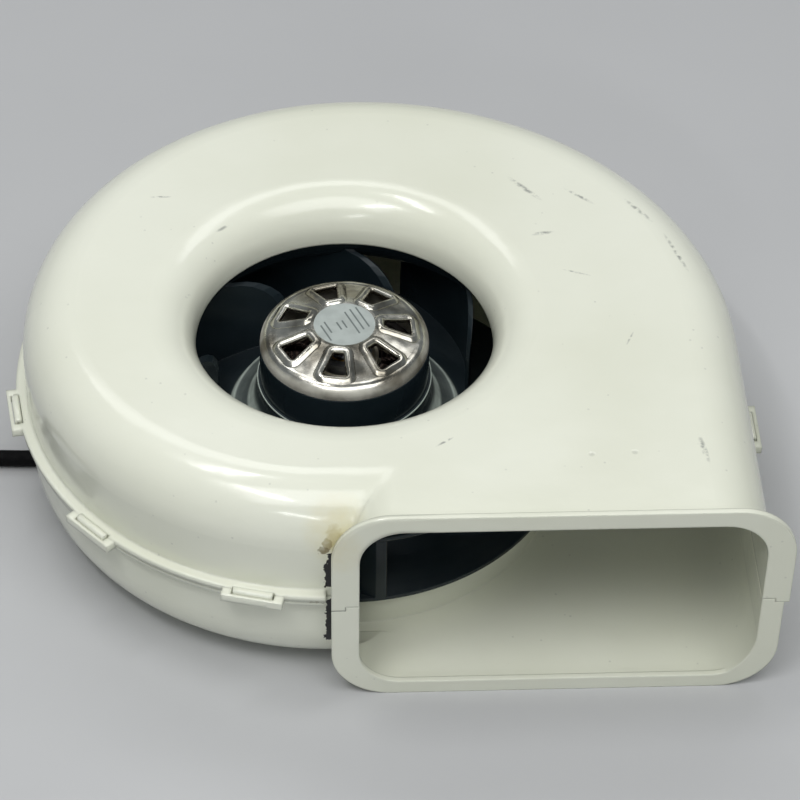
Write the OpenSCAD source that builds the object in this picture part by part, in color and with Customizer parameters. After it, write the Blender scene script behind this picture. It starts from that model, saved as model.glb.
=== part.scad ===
// Radial blower with a spiral housing of two snap-fitted shells, a backward-curved impeller
// and a brushless external-rotor motor in the inlet eye.
// +Z is the impeller axis and points out of the inlet. The outlet faces -Y.
// The origin is on the axis, in the plane of the motor's mounting face and the underside.

/* [Spiral housing] */
// Radius of the spiral wall at the front, where the spiral starts
scroll_start_r = 144; // [140:1:148]
// Growth of the spiral's radius over each quarter turn
scroll_growth = 18; // [16:1:20]
// Height of the housing over its flat top and bottom
housing_h = 119; // [117:1:124]
// Wall thickness of both shells
shell_t = 2.5; // [2:0.25:3]
// Radius of the round shoulder of the upper shell
shoulder_r = 28; // [24:1:32]
// Radius of the round lower edge of the lower shell
belly_r = 36; // [30:1:38]
// Height of the plane where the two shells meet
seam_z = 60; // [56:1:64]
// Height of the locating tongue along the seam
tongue_h = 2.5; // [2:0.5:4]

/* [Seam flanges and snap clips] */
// Width of the upper shell's seam flange outside the wall
flange_w = 5.5; // [4.5:0.5:6.5]
// Height of the upper shell's seam flange
flange_h = 5; // [4:0.5:6]
// Height of the lip that the lower shell carries under the seam
lower_lip_h = 2.5; // [2:0.5:4]
// Width of that lip
lower_lip_w = 3.8; // [3:0.2:4.4]
// Length of a clip's loop along the wall
clip_len = 30; // [26:1:34]
// Distance from the wall to the outer face of a loop
clip_reach = 10; // [9.5:0.25:11]
// Length of the window in a loop
clip_window_len = 21; // [18:1:23]
// Height of the hook above the loop
hook_rise = 1; // [0.5:0.25:2]
// Place of the clip on the straight right wall, along Y
side_clip_y = -38; // [-50:2:-26]

/* [Inlet] */
// Radius of the inlet's throat
throat_r = 75; // [73:0.5:77]
// Radius of the rolled inlet edge
inlet_roll_r = 23; // [20:1:25]
// Straight length below the rolled edge
inlet_lip = 3; // [2:0.5:5]

/* [Outlet] */
// Clear width of the outlet
outlet_w = 192.5; // [186:0.5:195]
// Distance from the axis to the outlet's face
outlet_y = 153.5; // [151:0.5:160]
// Width of the outlet frame's face at the two sides
rim_side_w = 13.3; // [11:0.1:15]
// Width of the outlet frame's face along the top
rim_top_w = 9.3; // [8:0.1:11]
// Width of the outlet frame's face along the bottom
rim_bottom_w = 8; // [7:0.1:10]
// Thickness of the outlet frame
rim_t = 3; // [2.5:0.25:4]
// How far the outlet frame stands above the housing's top
rim_proud = 3; // [2:0.5:5]
// Outside corner radius of the outlet frame
rim_corner_r = 29; // [26:1:32]
// How much narrower the lower half of the outlet frame is at the right
rim_step = 2.5; // [1.5:0.5:4]

/* [Pedestal and lead channel] */
// Radius of the raised round floor under the impeller
pedestal_r = 109.5; // [106:0.5:112]
// Height of the raised round floor
pedestal_h = 20.5; // [19:0.5:21]
// Radius of the hole in the raised floor, around the electronics
floor_hole_r = 43; // [41.5:0.5:43.5]
// Height of the ribs under the raised floor
rib_h = 6; // [4:0.5:8]
// Number of ribs under the raised floor
rib_count = 8; // [6:1:8]

/* [Motor flange and electronics] */
// Radius of the motor's mounting flange
motor_flange_r = 52; // [51:0.5:54]
// Thickness of the flange's mounting plate
motor_plate_t = 3.5; // [3:0.25:4]
// Radius of the circle of threaded mounting holes
mount_hole_pitch_r = 35; // [33:0.5:36]
// Radius of a threaded mounting hole's bore
mount_hole_r = 1.65; // [1.25:0.05:2.1]
// Depth of the threaded mounting holes
mount_hole_depth = 8; // [6:0.5:8.5]
// Radius of the circle of screws that hold the flange
flange_screw_pitch_r = 48; // [47.5:0.25:49]
// Nominal radius of a flange screw's thread
flange_screw_r = 2; // [1.5:0.25:2]
// Radius of a flange screw's head
flange_screw_head_r = 3.5; // [3:0.1:3.6]
// Height of a flange screw's head
flange_screw_head_h = 2.6; // [2:0.2:2.8]
// Height of the screw bosses above the raised floor
screw_boss_h = 5; // [4:0.5:8]
// Thickness of the circuit board
board_t = 1.6; // [1:0.2:2]
// Outside radius of the circuit board
board_r = 41; // [39.5:0.25:41]

/* [Stator] */
// Number of stator teeth and coils
slot_count = 12; // [9:3:12]
// Outside radius of the stator's lamination stack
stator_r = 34.6; // [34:0.1:34.8]
// Height of the lamination stack
stack_h = 28; // [24:1:30]
// Width of a stator tooth
tooth_w = 4.4; // [3.6:0.2:4.8]
// Height of a coil's winding head above and below the stack
coil_head_h = 6; // [4:0.5:6.5]
// Thickness of the winding on a tooth's flank
coil_side_t = 2; // [1.4:0.1:2.2]
// Thickness of the insulating end frames
insulator_t = 1; // [0.6:0.1:1.4]

/* [Rotor] */
// Radius of the rotor can inside the impeller's hub
can_r = 40; // [39.5:0.1:40.4]
// Wall thickness of the rotor can
can_t = 1.5; // [1.2:0.1:1.8]
// Height of the rotor can from its open edge to the crown's edge
can_h = 68; // [64:1:70]
// Radius of the can's crown, where it shows above the hub
crown_r = 42.7; // [42:0.1:43.5]
// Height of the crown from its edge to its flat centre
crown_h = 12.5; // [11:0.5:14]
// Radius of the crown's round shoulder
crown_edge_r = 6; // [5:0.5:7]
// Number of cooling windows in the crown
window_count = 7; // [5:1:8]
// Radius at which a window begins
window_in_r = 19.5; // [18.5:0.5:21]
// Radius at which a window ends
window_out_r = 34; // [32:0.5:35]
// Width of a window at its inner end
window_in_w = 7; // [5:0.5:8]
// Width of a window at its outer end
window_out_w = 13; // [10:0.5:15]
// Corner radius of a window
window_corner_r = 1.6; // [1:0.1:2]
// Radius of the label in the crown's centre
label_r = 15.5; // [13:0.5:16.5]
// Thickness of the magnet ring
magnet_t = 3.2; // [2.5:0.1:3.4]
// Height of the magnet ring
magnet_h = 32; // [28:1:36]

/* [Shaft and bearings] */
// Radius of the shaft
shaft_r = 4; // [3:0.25:4.5]
// Radius of a bearing's outer ring
bearing_r = 11; // [11:0.25:12]
// Width of a bearing
bearing_w = 7; // [6.5:0.25:8]
// Diameter of a bearing ball
ball_d = 3.97; // [3.5:0.01:4]
// Number of balls in a bearing
ball_count = 7; // [6:1:7]
// Wall thickness of the bearing tube
bearing_tube_t = 3; // [2.5:0.25:3.5]

/* [Impeller] */
// Outside radius of the impeller
impeller_r = 115; // [110:0.5:116]
// Number of blades
blade_count = 7; // [5:1:9]
// Thickness of a blade
blade_t = 2.4; // [2:0.2:3]
// Radius at which the blades begin
blade_in_r = 66; // [62:1:70]
// Angle that a blade sweeps back from its inner to its outer edge
blade_sweep = 57.5; // [50:0.5:62]
// Radius of a blade's curve
blade_curve_r = 101; // [98:1:120]
// Thickness of the impeller's disc and shroud
disc_t = 2.2; // [1.8:0.1:2.6]
// Wall thickness of the hub sleeve around the rotor can
hub_t = 3; // [2.6:0.1:3.2]
// Length of the straight hub sleeve
hub_len = 22.5; // [20:0.5:24]
// Height of the hub's hollow flare
flare_h = 21.5; // [19:0.5:24]
// Radius at the foot of the flare
flare_r = 58; // [56:1:60]
// Radius of the shroud's bend
shroud_bend_r = 22; // [19:1:24]
// Slope of the shroud's outer part, in degrees
shroud_slope = 15; // [10:1:20]
// Height by which the shroud's mouth reaches over the inlet's lip
mouth_overlap = 4; // [3:0.5:6]

/* [Lead] */
// Diameter of the lead
lead_d = 8.6; // [7:0.2:8.8]

/* [Hidden] */

// Fits and gaps
seam_gap = 0.2;
clip_gap = 0.8;
wheel_gap = 3.2;
mouth_gap = 2;
can_floor_gap = 3.5;
lead_gap = 1.2;
screw_gap = 0.3;
ball_gap = 0.015;
cage_gap = 0.1;
cut = 1;

// Spiral: three quarter arcs whose centres stand on the corners of a small square
arc_centres = [
    [-scroll_growth / 2, scroll_growth / 2],
    [scroll_growth / 2, scroll_growth / 2],
    [scroll_growth / 2, -scroll_growth / 2]
];
function arc_r(quarter) = scroll_start_r + scroll_growth * (quarter + 0.5);
right_x = scroll_start_r + 3 * scroll_growth;
duct_left_x = right_x - outlet_w - 2 * shell_t;
duct_corner_r = rim_corner_r - rim_bottom_w;
link_end_x = duct_left_x + shoulder_r;
flange_end_x = duct_left_x - rim_side_w;

// Snap clips, by their angle clockwise from the front as seen from the inlet side
clip_angles = [14, 47, 81, 112, 141, 170, 198, 225, 251];
clip_window_w = 4.4;
clip_rail_w = 1.8;
clip_step = 0.4;
hook_t = 2.4;

// Inlet
roll_z = housing_h - inlet_roll_r;
inlet_edge_z = roll_z - inlet_lip;

// Heights of the motor, from the mounting face upwards
recess_h = pedestal_h - shell_t;
board_z = mount_hole_depth + 4;
grommet_z = 7.2;
board_screw_r = 1;
plug_x = 33;
spring_t = 0.8;
can_z = pedestal_h + can_floor_gap;
crown_z = can_z + can_h;
top_z = crown_z + crown_h;
stack_mid_z = can_z + can_h * 0.59;
lower_bearing_z = can_z;
upper_bearing_z = stack_mid_z + stack_h / 2 + 2;
tube_top_z = upper_bearing_z + bearing_w + 1.2;
tube_r = bearing_r + bearing_tube_t;
ball_pitch_r = (shaft_r + bearing_r) / 2;
magnet_r = can_r - can_t;

// Impeller
wheel_z = pedestal_h + wheel_gap;
hub_r = can_r + hub_t;
hub_foot_z = crown_z - hub_len;
flare_z = hub_foot_z - flare_h;
mouth_r = throat_r + shell_t + mouth_gap;
bend_z = inlet_edge_z - 1;
bend_r = mouth_r + shroud_bend_r;
bend_end = [
    bend_r - shroud_bend_r * sin(shroud_slope),
    bend_z - shroud_bend_r * cos(shroud_slope)
];
shroud_edge_z = bend_end[1] - (impeller_r - bend_end[0]) * tan(shroud_slope);
blade_edge_drop = 8;
wheel_angle = 14.3;
window_angle = -100;

// Lead: the route of its free stretch, and the round coil at its end
lead_r = lead_d / 2;
lead_y = 9;
channel_z = 5;
lead_route = [
    [-54.6, 9, grommet_z], [-60, 9, grommet_z], [-66, 9, 7.1], [-74, 9, 6.7], [-82, 9, 6.1],
    [-90, 9, 5.5], [-98, 9, 5.1], [-107, 9, channel_z], [-118, 9, channel_z], [-130, 9, channel_z],
    [-142, 9, channel_z], [-154, 9, channel_z],
    [-166, 9, 5], [-178, 9.5, 5], [-190, 10, 5.1], [-202, 10.4, 5.2], [-212, 10.6, 5.3],
    [-222, 10.6, 5.4]
];
coil_x = -240;
coil_y = -40;
coil_mid_r = 46.3;
coil_foot_z = 1.1;
coil_w = 2 * lead_d;
tail_turn = 100;
tie_t = 0.8;
tie_turn = 6;
tie_angle = 290;
connector_size = [34, 17, 12];

// ---------- shared outlines ----------

// Places its children in the place of each snap clip: +X points away from the wall
module at_clips() {
    for (angle = clip_angles) {
        quarter = floor(angle / 90);
        translate(arc_centres[quarter])
            rotate([0, 0, 270 - angle])
            translate([arc_r(quarter), 0])
            children();
    }
    translate([right_x, side_clip_y])
        children();
}

// The spiral and its duct seen from above, with the wall moved outwards by grow
module scroll_plan(grow) {
    half = scroll_growth / 2;
    for (quarter = [0:2])
        translate(arc_centres[quarter])
            rotate([0, 0, 180 - 90 * quarter])
            intersection() {
                circle(r = arc_r(quarter) + grow, $fn = 180);
                square(arc_r(quarter) + grow + cut);
            }
    square(scroll_growth, center = true);
    translate([-half, -scroll_start_r - grow])
        square([half + duct_left_x + shoulder_r, scroll_start_r + grow - half]);
    translate([duct_left_x - grow, -outlet_y])
        square([outlet_w + 2 * (shell_t + grow), outlet_y - half]);
}

// Half of the housing's cross-section out to radius r, with every face moved inwards by inset
module side_profile(r, inset) {
    edge = r - inset;
    low_r = belly_r - inset;
    high_r = shoulder_r - inset;
    translate([0, belly_r])
        square([edge, housing_h - belly_r - shoulder_r]);
    translate([0, inset])
        square([edge - low_r, low_r]);
    translate([0, housing_h - shoulder_r])
        square([edge - high_r, high_r]);
    translate([edge - low_r, belly_r])
        circle(r = low_r, $fn = 96);
    translate([edge - high_r, housing_h - shoulder_r])
        circle(r = high_r, $fn = 96);
}

// The duct's cross-section: square towards the spiral, round towards the outlet's left corners
module duct_profile(inset) {
    left = duct_left_x + inset;
    intersection() {
        side_profile(right_x, inset);
        translate([left, inset])
            square([right_x - left, housing_h - 2 * inset]);
    }
}

module duct_corners(inset) {
    left_r = duct_corner_r - inset;
    left = duct_left_x + inset;
    for (side = [0, 1])
        translate([0, side * housing_h])
            mirror([0, side])
            difference() {
                translate([left - cut, inset - cut])
                    square([left_r + cut, left_r + cut]);
                translate([left + left_r, inset + left_r])
                    circle(r = left_r, $fn = 96);
            }
}

// The solid inside the housing's outer faces, or its cavity when inset is the wall
module housing_solid(inset) {
    half = scroll_growth / 2;
    reach = outlet_y + (inset > 0 ? cut : 0);
    for (quarter = [0:2])
        translate(arc_centres[quarter])
            rotate([0, 0, 180 - 90 * quarter])
            rotate_extrude(angle = 90, $fn = 180)
            side_profile(arc_r(quarter), inset);
    translate([-half, -half, inset])
        cube([scroll_growth, scroll_growth, housing_h - 2 * inset]);
    translate([-half, -half, 0])
        rotate([90, 0, 90])
        linear_extrude(height = half + link_end_x)
        mirror([1, 0])
        side_profile(scroll_start_r - half, inset);
    difference() {
        translate([0, -half, 0])
            rotate([90, 0, 0])
            linear_extrude(height = reach - half)
            duct_profile(inset);
        translate([0, -scroll_start_r + shoulder_r, 0])
            rotate([90, 0, 0])
            linear_extrude(height = reach)
            duct_corners(inset);
    }
}

module housing_wall() {
    difference() {
        housing_solid(0);
        housing_solid(shell_t);
    }
}

module above(z, height = housing_h) {
    span = 3 * right_x;
    translate([-span / 2, -span / 2, z])
        cube([span, span, height]);
}

// A flat ring along the spiral's wall, from inner to outer, both counted outwards from its face
module wall_ring(inner, outer, z, height) {
    translate([0, 0, z])
        linear_extrude(height = height)
        difference() {
            scroll_plan(outer);
            scroll_plan(inner);
        }
}

// What lies behind the outlet's face and left of the duct, where the seam flange is left out
module flange_stop() {
    translate([flange_end_x, -outlet_y - flange_w, 0])
        cube([right_x / 2, outlet_y - scroll_start_r + flange_w + cut, housing_h]);
}

// The outlet frame's face, narrower by step on the right
module rim_face(step) {
    outer_w = outlet_w + 2 * rim_side_w;
    outer_h = housing_h + rim_proud;
    hole_r = rim_corner_r - rim_bottom_w;
    left = duct_left_x + shell_t;
    difference() {
        translate([left - rim_side_w, 0])
            round_rect([outer_w - step, outer_h], rim_corner_r);
        translate([left, rim_bottom_w])
            round_rect([outlet_w, outer_h - rim_bottom_w - rim_top_w], hole_r);
    }
}

module round_rect(size, r) {
    translate([r, 0])
        square([size[0] - 2 * r, size[1]]);
    translate([0, r])
        square([size[0], size[1] - 2 * r]);
    for (x = [r, size[0] - r], y = [r, size[1] - r])
        translate([x, y])
            circle(r = r, $fn = 96);
}

// The outlet frame, above or below the seam, with the step where the halves lap
module rim_half(upper) {
    lap_w = rim_side_w / 2;
    tall = housing_h + rim_proud;
    wide = outlet_w + 2 * rim_side_w;
    left = duct_left_x + shell_t;
    lap_z = seam_z + tongue_h;
    translate([0, -outlet_y + rim_t, 0])
        rotate([90, 0, 0])
        linear_extrude(height = rim_t)
        intersection() {
            rim_face(upper ? 0 : rim_step);
            union() {
                translate([left - rim_side_w - cut, upper ? lap_z : -cut])
                    square([wide + 2 * cut, upper ? tall - lap_z : seam_z + cut]);
                if (upper)
                    for (x = [left - rim_side_w, left + outlet_w + rim_side_w - lap_w])
                        translate([x, seam_z])
                            square([lap_w, tongue_h + cut]);
                if (!upper)
                    for (x = [left - lap_w + seam_gap, left + outlet_w])
                        translate([x, seam_z - cut])
                            square([lap_w - seam_gap, tongue_h + cut - seam_gap]);
            }
        }
}

// Room in the upper shell for the tongues of the lower half of the outlet frame
module lap_room() {
    left = duct_left_x + shell_t;
    lap_w = rim_side_w / 2;
    for (x = [left - lap_w, left + outlet_w])
        translate([x, -outlet_y - cut, seam_z - cut])
            cube([lap_w, rim_t + seam_gap + cut, tongue_h + cut]);
}

// ---------- housing ----------

module bellmouth_profile() {
    roll_x = throat_r + inlet_roll_r;
    intersection() {
        translate([throat_r, roll_z])
            square(inlet_roll_r);
        difference() {
            translate([roll_x, roll_z])
                circle(r = inlet_roll_r, $fn = 96);
            translate([roll_x, roll_z])
                circle(r = inlet_roll_r - shell_t, $fn = 96);
        }
    }
    translate([throat_r, inlet_edge_z])
        square([shell_t, inlet_lip + 0.01]);
    translate([roll_x - 0.01, housing_h - shell_t])
        square([2, shell_t]);
}

module clip_loop() {
    translate([-shell_t / 2, -clip_len / 2, seam_z + clip_step])
        cube([clip_reach + shell_t / 2, clip_len, flange_h - 2 * clip_step]);
}

module clip_hook() {
    hook_x = clip_reach - clip_rail_w - clip_window_w + clip_gap;
    length = clip_window_len - 2 * clip_gap;
    lug_z = seam_z - lower_lip_h - clip_step;
    translate([-shell_t / 2, -length / 2, lug_z])
        cube([hook_x + hook_t + shell_t / 2, length, lower_lip_h]);
    translate([hook_x, -length / 2, lug_z])
        cube([hook_t, length, seam_z + flange_h + hook_rise - lug_z]);
}

module upper_shell() {
    color("#e9eadf")
        difference() {
            union() {
                intersection() {
                    housing_wall();
                    above(seam_z);
                }
                difference() {
                    union() {
                        wall_ring(-shell_t / 2, flange_w, seam_z + flange_h / 2, flange_h / 2);
                        wall_ring(-shell_t / 2, lower_lip_w, seam_z, flange_h);
                    }
                    flange_stop();
                }
                at_clips()
                    clip_loop();
                rotate_extrude($fn = 180)
                    bellmouth_profile();
                rim_half(true);
            }
            inlet_cut();
            lap_room();
            wall_ring(-2 * shell_t, -shell_t / 2, seam_z - cut, tongue_h + cut);
            at_clips()
                clip_window();
        }
}

// Clears the ceiling inside the rolled edge
module inlet_cut() {
    translate([0, 0, roll_z])
        rotate_extrude($fn = 180)
        difference() {
            square([throat_r + inlet_roll_r, inlet_roll_r + cut]);
            translate([throat_r + inlet_roll_r, 0])
                circle(r = inlet_roll_r, $fn = 96);
        }
}

module clip_window() {
    translate([clip_reach - clip_rail_w - clip_window_w, -clip_window_len / 2, seam_z - cut])
        cube([clip_window_w, clip_window_len, flange_h + 2 * cut]);
}

// Arched tunnel for the lead under the housing's left edge
module lead_tunnel(r) {
    translate([-right_x, lead_y, channel_z])
        rotate([0, 90, 0])
        cylinder(r = r, h = right_x - pedestal_r + 3 * shell_t, $fn = 48);
}

module raised_floor() {
    difference() {
        cylinder(r = pedestal_r, h = pedestal_h, $fn = 180);
        translate([0, 0, -cut])
            cylinder(r = pedestal_r - shell_t, h = recess_h + cut, $fn = 180);
        cylinder(r = floor_hole_r, h = 2 * pedestal_h, $fn = 120);
    }
    for (i = [0:rib_count - 1])
        rotate([0, 0, (i + 0.5) * 360 / rib_count])
            translate([motor_flange_r + 2, -shell_t / 2, recess_h - rib_h])
            cube([pedestal_r - shell_t / 2 - motor_flange_r - 2, shell_t, rib_h + shell_t / 2]);
}

module at_flange_screws() {
    for (i = [0:3])
        rotate([0, 0, 45 + 90 * i])
            translate([flange_screw_pitch_r, 0, 0])
            children();
}

module lower_shell() {
    hollow_r = lead_r + lead_gap;
    color("#e4e5da")
        difference() {
            union() {
                difference() {
                    housing_wall();
                    above(seam_z);
                    translate([0, 0, -cut])
                        cylinder(r = pedestal_r - shell_t, h = belly_r, $fn = 180);
                }
                difference() {
                    wall_ring(-shell_t / 2, lower_lip_w, seam_z - lower_lip_h, lower_lip_h);
                    flange_stop();
                }
                difference() {
                    wall_ring(-shell_t, -shell_t / 2 - seam_gap, seam_z - cut, tongue_h + cut - seam_gap);
                    translate([duct_left_x, -outlet_y - cut, 0])
                        cube([right_x, rim_t + cut, housing_h]);
                }
                at_clips()
                    clip_hook();
                raised_floor();
                at_flange_screws()
                    translate([0, 0, recess_h])
                    cylinder(r = 2 * flange_screw_r + 1, h = shell_t + screw_boss_h, $fn = 48);
                intersection() {
                    difference() {
                        lead_tunnel(hollow_r + shell_t);
                        cylinder(r = pedestal_r - shell_t, h = housing_h, $fn = 180);
                    }
                    housing_solid(0);
                }
                rim_half(false);
            }
            lead_tunnel(hollow_r);
            at_flange_screws()
                cylinder(r = flange_screw_r, h = pedestal_h + screw_boss_h - shell_t, $fn = 32);
        }
}

// ---------- motor flange and electronics ----------

module at_mount_holes() {
    for (i = [0:3])
        rotate([0, 0, 90 * i])
            translate([mount_hole_pitch_r, 0, 0])
            children();
}

module motor_flange() {
    wall_r = floor_hole_r + 1;
    color("#a9adb0")
        difference() {
            union() {
                difference() {
                    cylinder(r = motor_flange_r, h = recess_h, $fn = 120);
                    translate([0, 0, motor_plate_t])
                        cylinder(r = wall_r, h = recess_h, $fn = 120);
                }
                at_mount_holes()
                    cylinder(r = 2.6 * mount_hole_r, h = board_z, $fn = 32);
                cylinder(r = tube_r, h = tube_top_z, $fn = 96);
            }
            translate([0, 0, upper_bearing_z - spring_t])
                cylinder(r = bearing_r, h = tube_top_z, $fn = 96);
            translate([0, 0, -cut])
                cylinder(r = bearing_r, h = lower_bearing_z + bearing_w + cut, $fn = 96);
            cylinder(r = bearing_r - 1.5, h = tube_top_z, $fn = 96);
            at_mount_holes()
                translate([0, 0, -cut])
                cylinder(r = mount_hole_r, h = mount_hole_depth + cut, $fn = 32);
            at_mount_holes()
                translate([0, 0, mount_hole_depth + 1])
                cylinder(r = board_screw_r, h = board_z, $fn = 32);
            at_flange_screws()
                translate([0, 0, -cut]) {
                    cylinder(r = flange_screw_r + screw_gap, h = recess_h + 2 * cut, $fn = 32);
                    cylinder(r = flange_screw_head_r + screw_gap, h = flange_screw_head_h + screw_gap + cut, $fn = 48);
                }
            translate([-motor_flange_r - cut, lead_y, grommet_z])
                rotate([0, 90, 0])
                cylinder(r = lead_r + lead_gap, h = motor_flange_r / 2, $fn = 48);
        }
}

// Pan-head screw, head down, with its bearing face at the origin
module pan_screw(r, head_r, head_h, length) {
    difference() {
        union() {
            translate([0, 0, -head_h])
                cylinder(r = head_r, h = head_h, $fn = 48);
            cylinder(r = r, h = length, $fn = 32);
        }
        for (turn = [0, 90])
            rotate([0, 0, turn])
            translate([-head_r * 0.6, -head_r * 0.12, -head_h - cut])
            cube([head_r * 1.2, head_r * 0.24, cut + head_h * 0.5]);
    }
}

module flange_screws() {
    seat_z = flange_screw_head_h + screw_gap;
    color("#8d9296")
        at_flange_screws()
        translate([0, 0, seat_z])
        pan_screw(flange_screw_r, flange_screw_head_r, flange_screw_head_h,
            pedestal_h + screw_boss_h - shell_t - seat_z - 1);
}

module bearing_cap() {
    color("#2c2e31")
        difference() {
            translate([0, 0, 0.4])
                cylinder(r = bearing_r, h = 4, $fn = 96);
            translate([0, 0, 1.9])
                cylinder(r = bearing_r - 1.5, h = 4, $fn = 96);
        }
}

module circuit_board() {
    color("#2f6b46")
        difference() {
            translate([0, 0, board_z])
                cylinder(r = board_r, h = board_t, $fn = 120);
            cylinder(r = tube_r + 1, h = can_z, $fn = 96);
            at_mount_holes()
                cylinder(r = board_screw_r + screw_gap, h = can_z, $fn = 24);
        }
}

module board_components() {
    top = board_z + board_t;
    capacitor_h = can_z - top - 2;
    capacitor_r = 4.5;
    transistor = [9, 6.4, 2.4];
    controller = [9, 9, 1.6];
    regulator = [5, 6, 3];
    lead_plug = [6, 12, 5];
    color("#3a3d42") {
        for (i = [0:5])
            on_board(20 + i * 20)
                chip(transistor);
        for (turn = [-60, -35])
            on_board(turn)
                cylinder(r = capacitor_r, h = capacitor_h, $fn = 48);
        on_board(-110)
            chip(controller);
        on_board(-145)
            chip(regulator);
    }
    color("#e8e4d8")
        translate([-plug_x, lead_y - lead_plug[1] / 2, top])
        cube(lead_plug);
}

// Places its children on the board, midway between the bearing tube and the edge
module on_board(turn) {
    rotate([0, 0, turn])
        translate([(tube_r + board_r) / 2, 0, board_z + board_t])
        children();
}

module chip(size) {
    translate([-size[0] / 2, -size[1] / 2, 0])
        cube(size);
}

module board_screws() {
    color("#b9a45e")
        at_mount_holes()
        translate([0, 0, board_z + board_t])
        mirror([0, 0, 1])
        pan_screw(board_screw_r, 2 * board_screw_r, 1.6, board_t + board_z - mount_hole_depth - 1.4);
}

// The lead's five conductors, from the sheath up past the board's edge to the plug on it
module lead_wires() {
    top = board_z + board_t + 1.6;
    wire_r = 0.55;
    wall_x = -sqrt(pow(floor_hole_r + 1, 2) - pow(lead_y, 2));
    color("#b03a2e")
        for (i = [-2:2]) {
            y = lead_y + i * 2;
            rise_x = -sqrt(pow((board_r + floor_hole_r) / 2, 2) - pow(y, 2));
            path = [
                [wall_x - 6, lead_y + i * 1.3, grommet_z], [wall_x - 1, lead_y + i * 1.4, grommet_z],
                [rise_x, lead_y + i * 1.7, grommet_z + 2.5], [rise_x, y, top - 1],
                [rise_x + 1.2, y, top], [-plug_x, y, top]
            ];
            tube(path, wire_r, 8);
        }
}

module cable_grommet() {
    outer_x = sqrt(pow(motor_flange_r, 2) - pow(lead_y - lead_r - lead_gap - 1, 2));
    color("#1d1e20")
        translate([-outer_x, lead_y, grommet_z])
        rotate([0, 90, 0])
        difference() {
            union() {
                translate([0, 0, -2.6])
                    cylinder(r = lead_r + lead_gap + 0.6, h = 2.6, $fn = 48);
                cylinder(r = lead_r + lead_gap, h = 5, $fn = 48);
            }
            translate([0, 0, -5])
                cylinder(r = lead_r - 0.6, h = 12, $fn = 48);
        }
}

// ---------- stator ----------

module tooth_angles() {
    for (i = [0:slot_count - 1])
        rotate([0, 0, i * 360 / slot_count])
            children();
}

module stator_plan(shrink) {
    tip_t = 2.4;
    back_r = tube_r + 4;
    slot_open = 2.6;
    difference() {
        union() {
            circle(r = back_r - shrink, $fn = 96);
            tooth_angles()
                translate([back_r - 2, -tooth_w / 2 + shrink / 2])
                square([stator_r - back_r + 2 - tip_t / 2, tooth_w - shrink]);
            difference() {
                circle(r = stator_r - shrink, $fn = 120);
                circle(r = stator_r - tip_t, $fn = 120);
                rotate([0, 0, 180 / slot_count])
                    tooth_angles()
                    translate([0, -slot_open / 2])
                    square([stator_r + cut, slot_open]);
            }
        }
        circle(r = tube_r, $fn = 96);
    }
}

module stator_core() {
    color("#5c6064")
        translate([0, 0, stack_mid_z - stack_h / 2])
        linear_extrude(height = stack_h)
        stator_plan(0);
}

module stator_insulators() {
    color("#d9d3bf")
        for (side = [0, 1])
            translate([0, 0, stack_mid_z])
                mirror([0, 0, side])
                translate([0, 0, stack_h / 2]) {
                    linear_extrude(height = insulator_t)
                        stator_plan(0.4);
                    difference() {
                        cylinder(r = tube_r + 3.4, h = coil_head_h, $fn = 96);
                        translate([0, 0, -cut])
                            cylinder(r = tube_r + 1.8, h = coil_head_h + 2 * cut, $fn = 96);
                    }
                }
}

module stator_windings() {
    inner_w = tooth_w + 0.6;
    inner_h = stack_h + 2 * insulator_t;
    outer_w = inner_w + 2 * coil_side_t;
    outer_h = stack_h + 2 * coil_head_h;
    start_r = tube_r + 4.6;
    color("#7a3b1e")
        tooth_angles()
        translate([start_r, 0, stack_mid_z])
        rotate([90, 0, 90])
        linear_extrude(height = stator_r - 3 - start_r)
        difference() {
            translate([-outer_w / 2, -outer_h / 2])
                round_rect([outer_w, outer_h], coil_side_t);
            square([inner_w, inner_h], center = true);
        }
}

// ---------- bearings, shaft and rotor ----------

function race_ball_r() = ball_d / 2 + ball_gap;
function inner_shoulder_r() = ball_pitch_r - ball_d * 0.33;
function outer_shoulder_r() = ball_pitch_r + ball_d * 0.33;

module race(r_in, r_out) {
    rotate_extrude($fn = 96)
        difference() {
            translate([r_in, 0])
                square([r_out - r_in, bearing_w]);
            translate([ball_pitch_r, bearing_w / 2])
                circle(r = race_ball_r(), $fn = 48);
        }
}

module balls() {
    for (i = [0:ball_count - 1])
        rotate([0, 0, i * 360 / ball_count])
            translate([ball_pitch_r, 0, bearing_w / 2])
            sphere(d = ball_d, $fn = 32);
}

module cage() {
    half_h = ball_d / 2 + 0.7;
    difference() {
        rotate_extrude($fn = 96)
            translate([ball_pitch_r - 0.6, bearing_w / 2 - half_h])
            square([1.2, 2 * half_h]);
        for (i = [0:ball_count - 1])
            rotate([0, 0, i * 360 / ball_count])
                translate([ball_pitch_r - 2, 0, bearing_w / 2])
                rotate([0, 90, 0])
                cylinder(r = ball_d / 2 + cage_gap, h = 4, $fn = 32);
    }
}

module upper_bearing_outer() {
    color("#9aa0a6")
        translate([0, 0, upper_bearing_z])
        race(outer_shoulder_r(), bearing_r);
}

module upper_bearing_inner() {
    color("#a6acb2")
        translate([0, 0, upper_bearing_z])
        race(shaft_r, inner_shoulder_r());
}

module upper_bearing_balls() {
    color("#d5d8dc")
        translate([0, 0, upper_bearing_z])
        balls();
}

module upper_bearing_cage() {
    color("#b08d57")
        translate([0, 0, upper_bearing_z])
        cage();
}

module lower_bearing_outer() {
    color("#9aa0a6")
        translate([0, 0, lower_bearing_z])
        race(outer_shoulder_r(), bearing_r);
}

module lower_bearing_inner() {
    color("#a6acb2")
        translate([0, 0, lower_bearing_z])
        race(shaft_r, inner_shoulder_r());
}

module lower_bearing_balls() {
    color("#d5d8dc")
        translate([0, 0, lower_bearing_z])
        balls();
}

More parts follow.
